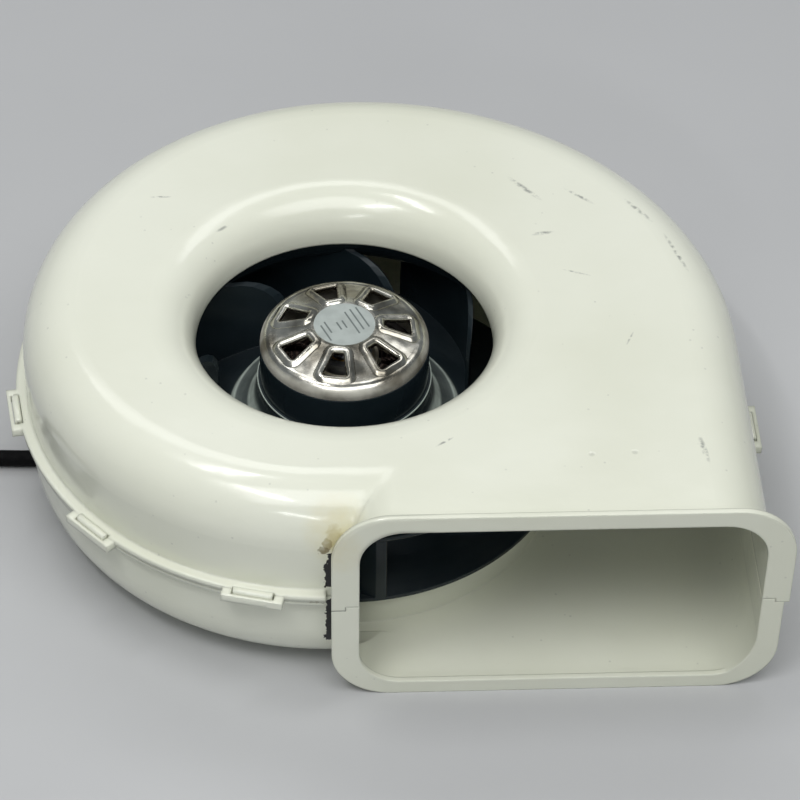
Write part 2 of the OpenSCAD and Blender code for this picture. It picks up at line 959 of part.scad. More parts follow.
module lower_bearing_cage() {
    color("#b08d57")
        translate([0, 0, lower_bearing_z])
        cage();
}

// Spring washer, pressed flat between the tube's shoulder and the upper bearing's outer ring
module preload_spring() {
    color("#b5b9bd")
        translate([0, 0, upper_bearing_z - spring_t])
        difference() {
            cylinder(r = bearing_r, h = spring_t, $fn = 96);
            translate([0, 0, -cut])
                cylinder(r = outer_shoulder_r() + 0.4, h = 3, $fn = 96);
        }
}

bush_h = 9;
bush_r = 8;
ring_z = lower_bearing_z - 1.2;

module rotor_shaft() {
    groove_w = 0.9;
    color("#c3c7cb")
        difference() {
            translate([0, 0, lower_bearing_z - 4])
                cylinder(r = shaft_r, h = top_z - can_t - lower_bearing_z + 4, $fn = 64);
            translate([0, 0, ring_z])
                difference() {
                    cylinder(r = shaft_r + cut, h = groove_w, $fn = 64);
                    translate([0, 0, -cut])
                        cylinder(r = shaft_r - 0.6, h = 3, $fn = 64);
                }
        }
}

module retaining_ring() {
    color("#6d7276")
        translate([0, 0, ring_z + 0.05])
        difference() {
            cylinder(r = shaft_r + 2, h = 0.8, $fn = 64);
            translate([0, 0, -cut])
                cylinder(r = shaft_r - 0.6, h = 3, $fn = 64);
            translate([0, -1.5, -cut])
                cube([shaft_r + 3, 3, 3]);
        }
}

module shaft_bush() {
    color("#c9b27a")
        translate([0, 0, top_z - can_t - bush_h])
        difference() {
            cylinder(r = bush_r, h = bush_h, $fn = 64);
            translate([0, 0, -cut])
                cylinder(r = shaft_r, h = bush_h + 2 * cut, $fn = 64);
        }
}

// Outline of the crown from its edge up to the flat centre, moved inwards by inset
module crown_profile(inset) {
    flat_r = label_r + 1.5;
    drop = 5.5;
    edge_r = crown_edge_r - inset;
    round_x = crown_r - crown_edge_r;
    round_z = crown_h - drop - crown_edge_r;
    intersection() {
        square([crown_r, crown_h]);
        union() {
            translate([0, -inset])
                polygon([
                    [0, inset], [crown_r - inset, inset], [crown_r - inset, round_z + inset],
                    [round_x, crown_h - drop], [flat_r, crown_h], [0, crown_h]
                ]);
            translate([round_x, round_z])
                circle(r = edge_r, $fn = 64);
        }
    }
}

// Plan of a cooling window: a trapezoid with round corners, widest outside
module window_plan() {
    r = window_corner_r;
    for (side = [-1, 1]) {
        translate([window_in_r + r, side * (window_in_w / 2 - r)])
            circle(r = r, $fn = 24);
        translate([window_out_r - r, side * (window_out_w / 2 - r)])
            circle(r = r, $fn = 24);
    }
    polygon([
        [window_in_r, -window_in_w / 2 + r], [window_in_r + r, -window_in_w / 2],
        [window_out_r - r, -window_out_w / 2], [window_out_r, -window_out_w / 2 + r],
        [window_out_r, window_out_w / 2 - r], [window_out_r - r, window_out_w / 2],
        [window_in_r + r, window_in_w / 2], [window_in_r, window_in_w / 2 - r]
    ]);
}

module rotor_can() {
    color("#c8c8c0")
        difference() {
            union() {
                translate([0, 0, crown_z])
                    rotate_extrude($fn = 120)
                    crown_profile(0);
                translate([0, 0, can_z])
                    cylinder(r = can_r, h = can_h + can_t, $fn = 120);
            }
            translate([0, 0, crown_z])
                rotate_extrude($fn = 120)
                intersection() {
                    crown_profile(can_t);
                    square([can_r - can_t, crown_h]);
                }
            translate([0, 0, can_z - cut])
                cylinder(r = can_r - can_t, h = can_h + 1.5 * cut, $fn = 120);
            for (i = [0:window_count - 1])
                rotate([0, 0, window_angle + i * 360 / window_count])
                    translate([0, 0, crown_z])
                    linear_extrude(height = crown_h + cut)
                    window_plan();
        }
}

module rotor_label() {
    color("#b9c4c9")
        translate([0, 0, top_z])
        cylinder(r = label_r, h = 0.2, $fn = 96);
}

// Bonded magnet strip, bent to a ring with one narrow joint
module rotor_magnets() {
    color("#4b4745")
        translate([0, 0, stack_mid_z - magnet_h / 2])
        difference() {
            cylinder(r = magnet_r, h = magnet_h, $fn = 120);
            translate([0, 0, -cut])
                cylinder(r = magnet_r - magnet_t, h = magnet_h + 2 * cut, $fn = 120);
            translate([0, -0.4, -cut])
                cube([can_r, 0.8, magnet_h + 2 * cut]);
        }
}

// ---------- impeller ----------

// Upper side of the disc, from the flare's foot out to the rim
disc_steps = 8;
function disc_top(r) =
    let (rim_top = wheel_z + disc_t)
    rim_top + (flare_z - 2 - rim_top) * pow((impeller_r - r) / (impeller_r - flare_r), 1.7);
function disc_point(i) =
    let (r = flare_r + (impeller_r - flare_r) * i / disc_steps)
    [r, disc_top(r)];
disc_line = [for (i = [0:disc_steps]) disc_point(i)];

// Hollow flare from the hub down to the disc: a quarter of an ellipse
flare_steps = 8;
function flare_point(i) =
    let (angle = 90 * i / flare_steps)
    [
        hub_r + 1.5 + (flare_r - hub_r - 1.5) * (1 - cos(angle)),
        hub_foot_z - flare_h * sin(angle)
    ];
flare_line = [for (i = [0:flare_steps]) flare_point(i)];

module wheel_profile() {
    top_line = concat(
        [[hub_r, crown_z - 0.3], [hub_r, hub_foot_z + 1], [hub_r + 1.5, hub_foot_z + 1]],
        flare_line, disc_line
    );
    under_line = [
        for (i = [len(top_line) - 1:-1:3])
            [max(can_r, top_line[i][0] - (i < 3 + len(flare_line) ? disc_t : 0)),
                top_line[i][1] - (i < 3 + len(flare_line) ? disc_t / 2 : disc_t)]
    ];
    polygon(concat(top_line, under_line, [[can_r, hub_foot_z - 2], [can_r, crown_z - 0.3]]));
}

// Corner i of the line that touches the shroud's bend from the blades' side
bend_steps = 10;
function bend_corner(i) =
    let (
        step = (90 - shroud_slope) / bend_steps,
        angle = (i + 0.5) * step,
        r = shroud_bend_r / cos(step / 2)
    )
    [bend_r - r * cos(angle), bend_z - r * sin(angle)];

// Inner edge of a blade: upright, and rounded outwards to the shroud by a quarter of an ellipse
edge_steps = 6;
function blade_edge_point(i) =
    let (angle = 90 * i / edge_steps)
    [
        mouth_r - (mouth_r - blade_in_r) * sin(angle),
        bend_z - blade_edge_drop - shroud_bend_r * (1 - cos(angle))
    ];

// Space between disc and shroud that the blades fill
module blade_space_profile() {
    polygon(concat(
        [for (p = disc_line) if (p[0] > blade_in_r) [p[0], p[1] - disc_t / 2]],
        [[impeller_r, shroud_edge_z], bend_end],
        [for (i = [bend_steps - 1:-1:2]) bend_corner(i)],
        [for (i = [0:edge_steps]) blade_edge_point(i)],
        [[blade_in_r, disc_top(blade_in_r) - disc_t / 2]]
    ));
}

// One blade in plan: a band of a circle through its root and its tip
module blade_plan() {
    tip = impeller_r * [cos(blade_sweep), sin(blade_sweep)];
    root = [blade_in_r, 0];
    middle = (root + tip) / 2;
    chord = norm(tip - root);
    lift = sqrt(pow(blade_curve_r, 2) - pow(chord / 2, 2));
    side = [-(tip - root)[1], (tip - root)[0]] / chord;
    centre = middle + side * lift;
    intersection() {
        translate(centre)
            difference() {
                circle(r = blade_curve_r + blade_t / 2, $fn = 96);
                circle(r = blade_curve_r - blade_t / 2, $fn = 96);
            }
        rotate([0, 0, blade_sweep / 2])
            polygon([[0, 0], impeller_r * 1.2 * [cos(35), -sin(35)], impeller_r * 1.2 * [cos(35), sin(35)]]);
    }
}

module impeller_wheel() {
    color("#1b1c1f") {
        rotate_extrude($fn = 96)
            wheel_profile();
        intersection() {
            rotate_extrude($fn = 96)
                blade_space_profile();
            linear_extrude(height = housing_h)
                for (i = [0:blade_count - 1])
                    rotate([0, 0, wheel_angle + i * 360 / blade_count])
                        blade_plan();
        }
    }
}

module impeller_shroud() {
    color("#202125")
        rotate_extrude($fn = 120)
        shroud_profile();
}

module shroud_profile() {
    mouth_top = inlet_edge_z + mouth_overlap;
    outer_r = shroud_bend_r - disc_t;
    translate([mouth_r, bend_z])
        square([disc_t, mouth_top - bend_z]);
    intersection() {
        translate([bend_r, bend_z])
            difference() {
                circle(r = shroud_bend_r, $fn = 96);
                circle(r = outer_r, $fn = 96);
            }
        polygon([
            [bend_r, bend_z],
            [mouth_r - cut, bend_z],
            [mouth_r - cut, bend_z - shroud_bend_r - cut],
            [bend_r - (shroud_bend_r + cut) * tan(shroud_slope), bend_z - shroud_bend_r - cut]
        ]);
    }
    polygon([
        bend_end,
        [impeller_r, shroud_edge_z],
        [impeller_r, shroud_edge_z + disc_t / cos(shroud_slope)],
        bend_end + disc_t * [sin(shroud_slope), cos(shroud_slope)]
    ]);
}

// ---------- lead ----------

function unit(v) = v / norm(v);

// Direction of a route at point i
function heading(path, i) =
    unit(path[min(i + 1, len(path) - 1)] - path[max(i - 1, 0)]);

// Tube of one polyhedron along a route, its rings square to the route
module tube(path, r, sides) {
    last = len(path) - 1;
    rings = [
        for (i = [0:last])
            let (
                ahead = heading(path, i),
                across = unit(cross([0, 0, 1], ahead)),
                upright = cross(ahead, across)
            )
            for (k = [0:sides - 1])
                let (a = 360 * k / sides)
                path[i] + r * (cos(a) * across + sin(a) * upright)
    ];
    walls = [
        for (i = [0:last - 1], k = [0:sides - 1])
            let (n = (k + 1) % sides)
            [i * sides + k, (i + 1) * sides + k, (i + 1) * sides + n, i * sides + n]
    ];
    start = [[for (k = [0:sides - 1]) k]];
    end = [[for (k = [sides - 1:-1:0]) last * sides + k]];
    polyhedron(points = rings, faces = concat(start, walls, end));
}

module motor_lead() {
    color("#17181a")
        tube(lead_route, lead_r, 12);
}

module at_coil() {
    translate([coil_x, coil_y, coil_foot_z])
        children();
}

module lead_coil() {
    color("#17181a")
        at_coil() {
            rotate_extrude($fn = 120)
                translate([coil_mid_r - coil_w / 2, 0])
                square([coil_w, lead_d]);
            rotate([0, 0, 90])
                rotate_extrude(angle = tail_turn, $fn = 120)
                translate([coil_mid_r, lead_d + lead_r])
                circle(r = lead_r, $fn = 32);
        }
}

module coil_tie() {
    color("#2a2b2e")
        at_coil()
        rotate([0, 0, tie_angle])
        rotate_extrude(angle = tie_turn, $fn = 120)
        translate([coil_mid_r - coil_w / 2, 0])
        difference() {
            translate([-tie_t, -tie_t])
                square([coil_w + 2 * tie_t, lead_d + 2 * tie_t]);
            square([coil_w, lead_d]);
        }
}

module lead_connector() {
    color("#ece7d6")
        at_coil()
        rotate([0, 0, 90 + tail_turn])
        translate([coil_mid_r - connector_size[1] / 2, 0, lead_d])
        difference() {
            cube([connector_size[1], connector_size[0], connector_size[2]]);
            for (column = [0:2], row = [0:1])
                translate([
                    connector_size[1] / 2 + (column - 1) * 5 - 1.6,
                    connector_size[0] - 12,
                    connector_size[2] / 2 + (row - 0.5) * 5 - 1.6
                ])
                    cube([3.2, 13, 3.2]);
        }
}

upper_shell();
lower_shell();
motor_flange();
flange_screws();
bearing_cap();
circuit_board();
board_components();
board_screws();
lead_wires();
cable_grommet();
stator_core();
stator_insulators();
stator_windings();
preload_spring();
upper_bearing_outer();
upper_bearing_inner();
upper_bearing_balls();
upper_bearing_cage();
lower_bearing_outer();
lower_bearing_inner();
lower_bearing_balls();
lower_bearing_cage();
rotor_can();
rotor_magnets();
rotor_shaft();
shaft_bush();
retaining_ring();
rotor_label();
impeller_wheel();
impeller_shroud();
motor_lead();
lead_coil();
coil_tie();
lead_connector();
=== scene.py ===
import math

import bpy
from mathutils import Matrix, Vector


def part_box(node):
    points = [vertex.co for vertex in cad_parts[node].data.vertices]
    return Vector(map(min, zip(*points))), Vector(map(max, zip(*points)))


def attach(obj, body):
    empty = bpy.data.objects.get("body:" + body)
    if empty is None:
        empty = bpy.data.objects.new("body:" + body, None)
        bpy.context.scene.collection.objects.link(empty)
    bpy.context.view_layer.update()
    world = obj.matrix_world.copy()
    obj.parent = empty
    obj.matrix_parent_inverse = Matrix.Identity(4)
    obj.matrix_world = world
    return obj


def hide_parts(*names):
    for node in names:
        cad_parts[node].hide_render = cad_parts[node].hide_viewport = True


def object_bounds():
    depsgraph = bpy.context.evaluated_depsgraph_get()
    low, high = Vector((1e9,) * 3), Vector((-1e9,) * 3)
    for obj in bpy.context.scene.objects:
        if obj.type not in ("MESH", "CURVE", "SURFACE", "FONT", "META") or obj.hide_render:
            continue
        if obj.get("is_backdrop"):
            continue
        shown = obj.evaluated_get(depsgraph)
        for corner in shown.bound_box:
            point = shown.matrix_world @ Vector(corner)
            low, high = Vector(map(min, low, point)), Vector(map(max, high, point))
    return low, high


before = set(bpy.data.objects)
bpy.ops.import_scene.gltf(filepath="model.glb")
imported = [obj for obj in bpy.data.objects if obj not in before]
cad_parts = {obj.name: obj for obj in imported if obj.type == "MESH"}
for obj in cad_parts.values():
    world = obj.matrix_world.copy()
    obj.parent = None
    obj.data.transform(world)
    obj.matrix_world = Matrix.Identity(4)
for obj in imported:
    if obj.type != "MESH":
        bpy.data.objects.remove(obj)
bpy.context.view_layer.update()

# ---------- View ----------
# The blower lies flat on its underside and is seen from the front and above, through a long lens.
# The camera aims a little to the right of the inlet throat's centre and below it.
view_height = math.radians(43.76)
view_turn = math.radians(-3.01)
view_roll = math.radians(1.04)
view_distance = 1.5122
view_lens = 135
sensor_width = 36
aim_right = 0.0280
aim_down = 0.0322
throat_z = 0.0965

toward = Vector((
    math.sin(view_turn) * math.cos(view_height),
    -math.cos(view_turn) * math.cos(view_height),
    math.sin(view_height),
))
level = Vector((math.cos(view_turn), math.sin(view_turn), 0))
across = math.cos(view_roll) * level + math.sin(view_roll) * toward.cross(level)
upright = toward.cross(across)
stand = Vector((0, 0, throat_z)) + across * aim_right - upright * aim_down + toward * view_distance

camera = bpy.data.objects.new("camera", bpy.data.cameras.new("camera"))
camera.data.lens = view_lens
camera.data.sensor_width = sensor_width
camera.matrix_world = Matrix.Translation(stand) @ Matrix((across, upright, toward)).transposed().to_4x4()
bpy.context.scene.collection.objects.link(camera)
bpy.context.scene.camera = camera


# ---------- Lead ----------
# A round black lead in a PVC sheath. It leaves the motor's flange through a rubber grommet, runs
# under the raised floor and out through the shell's tunnel, and its spare length is coiled beside
# the housing, held by a nylon tie, with the crimped plug housing on top.
lead_d = 0.0086
# The lead's way from the grommet through the tunnel to the coil
lead_route = [
    (-0.0546, 0.009, 0.0072), (-0.060, 0.009, 0.0072), (-0.066, 0.009, 0.0071), (-0.074, 0.009, 0.0067),
    (-0.082, 0.009, 0.0061), (-0.090, 0.009, 0.0055), (-0.098, 0.009, 0.0051), (-0.107, 0.009, 0.005),
    (-0.118, 0.009, 0.005), (-0.130, 0.009, 0.005), (-0.142, 0.009, 0.005), (-0.154, 0.009, 0.005),
    (-0.166, 0.009, 0.005), (-0.178, 0.0095, 0.005), (-0.190, 0.010, 0.0051), (-0.202, 0.0104, 0.0052),
    (-0.212, 0.0106, 0.0053), (-0.222, 0.0106, 0.0054),
]
coil_centre = Vector((-0.240, -0.040, 0))
coil_r = 0.0463
coil_z = 0.0054
coil_top_z = 0.0129
coil_step = 15
# Where the coil starts and ends, in degrees on from +X, and the least step to its last point
coil_start = 90
coil_end = 910
coil_last_step = 7
# Where it steps in to the inner turn, up on top of both turns, and out again over them
coil_step_in = (370, 450)
coil_step_up = (690, 750)
coil_step_out = (755, 800)


def tint(red, green, blue):
    """A colour given as it is read off a colour card, 0 to 255, for the shader's sockets."""
    linear = [(c / 255) ** 2.2 for c in (red, green, blue)]
    return (*linear, 1)


def add(tree, kind, inputs=None, **settings):
    """Adds a node to a finish. An input takes a value or another node's output."""
    made = tree.nodes.new("ShaderNode" + kind)
    for name, value in settings.items():
        setattr(made, name, value)
    for name, value in (inputs or {}).items():
        if isinstance(value, bpy.types.NodeSocket):
            tree.links.new(value, made.inputs[name])
        else:
            made.inputs[name].default_value = value
    return made


def new_finish(name, metallic=0.0, gloss=0.5):
    """An empty finish: its node tree, its surface shader and the piece's own coordinates."""
    finish = bpy.data.materials.new(name)
    finish.use_nodes = True
    tree = finish.node_tree
    skin = tree.nodes["Principled BSDF"]
    skin.inputs["Metallic"].default_value = metallic
    skin.inputs["Specular IOR Level"].default_value = gloss
    place = add(tree, "TexCoord").outputs["Object"]
    return finish, tree, skin, place


def clouds(tree, place, scale, low=0.0, high=1.0, detail=4.0, sharp=0.3):
    """Soft random patches of the given scale, between low and high."""
    noise = add(tree, "TexNoise", {"Vector": place, "Scale": scale, "Detail": detail})
    spread = add(tree, "MapRange", {
        "Value": noise.outputs["Fac"], "From Min": 0.5 - sharp / 2, "From Max": 0.5 + sharp / 2,
        "To Min": low, "To Max": high,
    }, interpolation_type="SMOOTHSTEP")
    return spread.outputs["Result"]


def blended(tree, share, first, second):
    """The first colour, turning into the second where share reaches 1."""
    mix = add(tree, "Mix", data_type="RGBA")
    for slot, value in ((0, share), (6, first), (7, second)):
        if isinstance(value, bpy.types.NodeSocket):
            tree.links.new(value, mix.inputs[slot])
        else:
            mix.inputs[slot].default_value = value
    return mix.outputs[2]


def paint(tree, skin, colour, roughness):
    """Joins a colour and a roughness to the surface."""
    tree.links.new(colour, skin.inputs["Base Color"])
    tree.links.new(roughness, skin.inputs["Roughness"])


def relief(tree, skin, height, depth, rounding=None):
    """Fine unevenness of the surface, depth in metres, and edges that catch the light as rounded."""
    bump = add(tree, "Bump", {"Height": height, "Distance": depth, "Strength": 1.0})
    if rounding:
        edges = add(tree, "Bevel", {"Radius": rounding}, samples=8)
        tree.links.new(edges.outputs["Normal"], bump.inputs["Normal"])
    tree.links.new(bump.outputs["Normal"], skin.inputs["Normal"])


def moulded(name, colour, worn, grain=0.00004, roughness=(0.3, 0.5), gloss=0.5):
    """Injection-moulded plastic: a base colour that varies a little, and a fine tool grain."""
    finish, tree, skin, place = new_finish(name, gloss=gloss)
    shade = blended(tree, clouds(tree, place, 60), tint(*colour), tint(*worn))
    paint(tree, skin, shade, clouds(tree, place, 150, *roughness))
    relief(tree, skin, clouds(tree, place, 1400), grain)
    return finish


def dress(name, finish):
    """Gives a piece of the frame its finish."""
    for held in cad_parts[name].material_slots:
        held.material = finish


def smooth_piece(name, points, faces, finish, body):
    """A new mesh piece that rides on a body and takes the given finish."""
    mesh = bpy.data.meshes.new(name)
    mesh.from_pydata([tuple(p) for p in points], [], faces)
    mesh.polygons.foreach_set("use_smooth", [True] * len(mesh.polygons))
    mesh.materials.append(finish)
    mesh.update()
    piece = bpy.data.objects.new(name, mesh)
    bpy.context.scene.collection.objects.link(piece)
    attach(piece, body)
    return piece


def coil_point(turn):
    """A point of the coil, turn degrees on from +X: one outer and one inner turn, then the tail."""
    def ease(start, end):
        share = min(max((turn - start) / (end - start), 0), 1)
        return share * share * (3 - 2 * share)

    half = lead_d / 2
    r = coil_r + half - lead_d * ease(*coil_step_in) + half * ease(*coil_step_out)
    z = coil_z + (coil_top_z - coil_z) * ease(*coil_step_up)
    a = math.radians(turn)
    return coil_centre + Vector((r * math.cos(a), r * math.sin(a), z))


route = [Vector(p) for p in lead_route]
route += [coil_point(turn) for turn in range(coil_start, coil_end - coil_last_step, coil_step)]
route.append(coil_point(coil_end))

sheath_finish, tree, skin, place = new_finish("lead_sheath", gloss=0.1)
shade = blended(tree, clouds(tree, place, 45), tint(14, 15, 16), tint(22, 22, 23))
paint(tree, skin, shade, clouds(tree, place, 200, 0.6, 0.75))
relief(tree, skin, clouds(tree, place, 900), 0.00008)

line = bpy.data.curves.new("lead_sheath", "CURVE")
line.dimensions = "3D"
line.bevel_depth = lead_d / 2
line.bevel_resolution = 6
line.resolution_u = 6
line.use_fill_caps = True
spline = line.splines.new("BEZIER")
spline.bezier_points.add(len(route) - 1)
for knot, point in zip(spline.bezier_points, route):
    knot.co = point
    knot.handle_left_type = "AUTO"
    knot.handle_right_type = "AUTO"
line.materials.append(sheath_finish)
lead = bpy.data.objects.new("lead_sheath", line)
bpy.context.scene.collection.objects.link(lead)
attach(lead, "housing")
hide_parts("motor_lead", "lead_coil")

grommet_finish = moulded("grommet_rubber", (24, 24, 25), (36, 35, 34), roughness=(0.6, 0.8), gloss=0.3)
tie_finish = moulded("tie_nylon", (30, 31, 33), (44, 45, 46), roughness=(0.35, 0.5))
plug_finish = moulded("connector_nylon", (226, 221, 204), (208, 202, 182), roughness=(0.4, 0.55))
dress("cable_grommet", grommet_finish)
dress("lead_connector", plug_finish)
dress("coil_tie", tie_finish)


# ---------- Housing shells ----------
# Two mouldings of off-white ABS, joined along the seam by a tongue and snap clips. The plastic has
# yellowed a little and carries grey rub marks. Behind the outlet frame's left edge, at the
# spiral's tongue, it has cracked and is stained; the dark in the cracked gap and the line where the
# frame's halves lap are painted shadow.
shell_colour = (236, 238, 223)
shell_shade = (226, 228, 210)
scuff_colour = (164, 166, 158)
stain_colour = (222, 212, 170)
chip_colour = (128, 116, 82)
gap_shadow_colour = (6, 3, 4)
lap_shadow_colour = (120, 122, 116)
shell_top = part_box("upper_shell")[1].z
seam_z = 0.060
# Rub marks on the top face: place x, y, length, width and the angle of the mark
scuffs = [
    (0.096, 0.087, 0.028, 0.0036, -50), (0.103, 0.051, 0.014, 0.0032, 10),
    (0.124, 0.080, 0.022, 0.0026, -42), (0.154, 0.068, 0.024, 0.0034, -55),
    (0.170, 0.035, 0.034, 0.0030, -72), (0.168, -0.108, 0.022, 0.0034, -82),
    (-0.093, 0.0845, 0.012, 0.0018, 0), (-0.061, 0.062, 0.010, 0.0020, 40),
    (-0.0786, 0.0163, 0.008, 0.0018, 60), (0.118, 0.020, 0.016, 0.0016, -20),
    (0.140, -0.030, 0.012, 0.0014, 65), (0.045, -0.100, 0.012, 0.0018, 35),
]
scuff_half_h = 0.02
# Rings that the mould's ejector pins left on the top face
ejector_marks = [(0.1144, -0.110), (0.135, -0.1092)]
ejector_r = 0.003
ejector_fade = 0.0005
ejector_dust = 0.35
# Stains at the spiral's tongue, behind the frame: centre, half sizes, strength and colour
stains = [
    ((-0.007, -0.141, 0.101), (0.018, 0.024, 0.020), 0.9, stain_colour),
    ((-0.0088, -0.142, 0.0995), (0.0040, 0.006, 0.0075), 2.5, (196, 186, 142)),
    ((-0.0120, -0.1435, 0.0955), (0.0022, 0.006, 0.0040), 5.0, (160, 148, 108)),
    ((-0.0136, -0.144, 0.0920), (0.0030, 0.006, 0.0026), 5.0, chip_colour),
    ((-0.0185, -0.151, 0.0605), (0.0060, 0.004, 0.0018), 5.0, (170, 158, 128)),
]
# Painted shadow in the cracked gap of the two shells' walls there: centre and half sizes
painted_gap_shadows = [
    ((-0.0108, -0.140, 0.075), (0.0022, 0.008, 0.0080)),
    ((-0.0102, -0.140, 0.085), (0.0015, 0.008, 0.0045)),
    ((-0.0108, -0.140, 0.043), (0.0019, 0.008, 0.0150)),
    ((-0.0120, -0.140, 0.031), (0.0016, 0.008, 0.0012)),
    ((-0.0170, -0.152, 0.0596), (0.0035, 0.004, 0.0004)),
]
# Painted shadow line where the frame's two halves lap, on its left leg
lap_shadow_place = (-0.007, -0.152, seam_z)
lap_shadow_half = (0.0035, 0.004, 0.00025)
# How round the edges look: everywhere, where the shoulder runs out on the duct, and at the seam
edge_rounding = 0.0014
blend_rounding = 0.009
blend_place = (0.010, -0.132, 0.110)
blend_half = (0.042, 0.034, 0.034)
flange_rounding = 0.0028
flange_place = (0, 0.02, seam_z + 0.002)
flange_half = (0.3, 0.171, 0.004)


def times(tree, first, second):
    """The product of two values."""
    return add(tree, "Math", {0: first, 1: second}, operation="MULTIPLY").outputs[0]


def more(tree, first, second):
    """The greater of two values."""
    return add(tree, "Math", {0: first, 1: second}, operation="MAXIMUM").outputs[0]


def apart(tree, first, second):
    """How far two values lie apart."""
    difference = add(tree, "Math", {0: first, 1: second}, operation="SUBTRACT").outputs[0]
    return add(tree, "Math", {0: difference}, operation="ABSOLUTE").outputs[0]


def shaken(tree, place, scale, amount):
    """The place moved to and fro by noise, which makes the outline of a mark ragged."""
    noise = add(tree, "TexNoise", {"Vector": place, "Scale": scale, "Detail": 3.0})
    centred = add(tree, "VectorMath", {0: noise.outputs["Color"], 1: (0.5, 0.5, 0.5)}, operation="SUBTRACT")
    moved = add(tree, "VectorMath", {0: centred.outputs[0], "Scale": 2 * amount}, operation="SCALE")
    return add(tree, "VectorMath", {0: place, 1: moved.outputs[0]}, operation="ADD").outputs[0]


def framed(tree, place, centre, half, turn=0.0):
    """The place seen from a box: 0 in its centre and 1 on its sides. The box is turned about Z."""
    mapped = add(tree, "Mapping", {
        "Vector": place, "Location": centre, "Rotation": (0, 0, math.radians(turn)), "Scale": half,
    }, vector_type="TEXTURE")
    return mapped.outputs["Vector"]


def box_mark(tree, place, centre, half, turn=0.0):
    """1 inside a box, 0 outside."""
    sides = add(tree, "VectorMath", {0: framed(tree, place, centre, half, turn)}, operation="ABSOLUTE")
    part = add(tree, "SeparateXYZ", {"Vector": sides.outputs[0]}).outputs
    widest = more(tree, more(tree, part["X"], part["Y"]), part["Z"])
    return add(tree, "Math", {0: widest, 1: 1.0}, operation="LESS_THAN").outputs[0]


def soft_mark(tree, place, centre, half, turn=0.0):
    """1 in the centre of an ellipsoid, fading to 0 on its surface."""
    return add(tree, "TexGradient", {
        "Vector": framed(tree, place, centre, half, turn)
    }, gradient_type="SPHERICAL").outputs["Fac"]


def ring_mark(tree, place, x, y, r):
    """1 on a thin circle of the top face, fading to both sides."""
    away = add(tree, "VectorMath", {0: place, 1: (x, y, shell_top)}, operation="DISTANCE").outputs["Value"]
    return add(tree, "MapRange", {
        "Value": apart(tree, away, r), "From Min": 0.0, "From Max": ejector_fade,
        "To Min": 1.0, "To Max": 0.0,
    }).outputs["Result"]


def shell_plastic(name, top_side):
    """Glossy off-white plastic, slightly uneven in colour, with dust and stains, and painted shadow in the
    cracked gap and along the lap line.
    """
    finish, tree, skin, place = new_finish(name, gloss=0.5)
    shade = blended(tree, clouds(tree, place, 7, sharp=0.5), tint(*shell_colour), tint(*shell_shade))
    specks = add(tree, "TexVoronoi", {"Vector": place, "Scale": 110.0, "Randomness": 1.0})
    dots = add(tree, "MapRange", {
        "Value": specks.outputs["Distance"], "From Min": 0.09, "From Max": 0.04,
        "To Min": 0.0, "To Max": 0.3,
    })
    dust = times(tree, dots.outputs["Result"], clouds(tree, place, 30, sharp=0.1))
    height = clouds(tree, place, 55, detail=3.0, sharp=1.0)
    if top_side:
        rubbed = None
        for x, y, length, width, turn in scuffs:
            mark = soft_mark(tree, place, (x, y, shell_top), (length / 2, width / 2, scuff_half_h), turn)
            rubbed = mark if rubbed is None else more(tree, rubbed, mark)
        rubbed = times(tree, rubbed, clouds(tree, place, 420, 0.0, 1.5, sharp=0.3))
        dust = more(tree, dust, rubbed)
        for x, y in ejector_marks:
            mark = ring_mark(tree, place, x, y, ejector_r)
            dust = more(tree, dust, times(tree, mark, ejector_dust))
            height = add(tree, "Math", {0: height, 1: mark}, operation="SUBTRACT").outputs[0]
    shade = blended(tree, dust, shade, tint(*scuff_colour))

    ragged = shaken(tree, place, 420, 0.0022)
    for centre, half, strength, colour in stains:
        mark = soft_mark(tree, ragged, centre, half)
        mark = add(tree, "Math", {0: mark, 1: strength}, operation="MULTIPLY", use_clamp=True).outputs[0]
        mark = times(tree, mark, clouds(tree, place, 160, 0.5, 1.0, sharp=0.5))
        shade = blended(tree, mark, shade, tint(*colour))
    # Dark boxes in the cracked gap at the tongue: painted shadow of the gap there
    for centre, half in painted_gap_shadows:
        shade = blended(tree, box_mark(tree, ragged, centre, half), shade, tint(*gap_shadow_colour))
    # A thin darker line where the frame's halves lap: painted shadow of the seam
    lap_shadow_mask = box_mark(tree, place, lap_shadow_place, lap_shadow_half)
    shade = blended(tree, lap_shadow_mask, shade, tint(*lap_shadow_colour))

    paint(tree, skin, shade, clouds(tree, place, 18, 0.12, 0.20))
    wide = add(tree, "MapRange", {
        "Value": soft_mark(tree, place, blend_place, blend_half),
        "To Min": edge_rounding, "To Max": blend_rounding,
    }).outputs["Result"]
    along_seam = box_mark(tree, place, flange_place, flange_half)
    wide = more(tree, wide, times(tree, along_seam, flange_rounding))
    relief(tree, skin, height, 0.00015, wide)
    return finish


upper_finish = shell_plastic("shell_upper", True)
lower_finish = shell_plastic("shell_lower", False)
dress("lower_shell", lower_finish)
dress("upper_shell", upper_finish)

# The hooks' rounded backs, which fill the windows of the clip loops. A clip's place is the centre of
# its arc of the spiral, the arc's radius and the direction in which the clip faces.
scroll_start_r = 0.144
scroll_growth = 0.018
arc_centres = [(-0.009, 0.009), (0.009, 0.009), (0.009, -0.009)]
side_clip_y = -0.038
clip_spots = []
for clip_angle in (14, 47, 81, 112, 141, 170, 198, 225, 251):
    quarter = clip_angle // 90
    arc_r = scroll_start_r + scroll_growth * (quarter + 0.5)
    clip_spots.append((arc_centres[quarter], arc_r, 270 - clip_angle))
clip_spots.append(((0, side_clip_y), scroll_start_r + 3 * scroll_growth, 0))
hook_middle = 0.0060
hook_half = (0.0018, 0.0097)
hook_corner = 0.0011
# Section of a hook's back: how far its outline is drawn in, and its height above the seam
hook_section = [(0.0, 0.001), (0.0, 0.0052), (0.0003, 0.0058), (0.0009, 0.0062)]


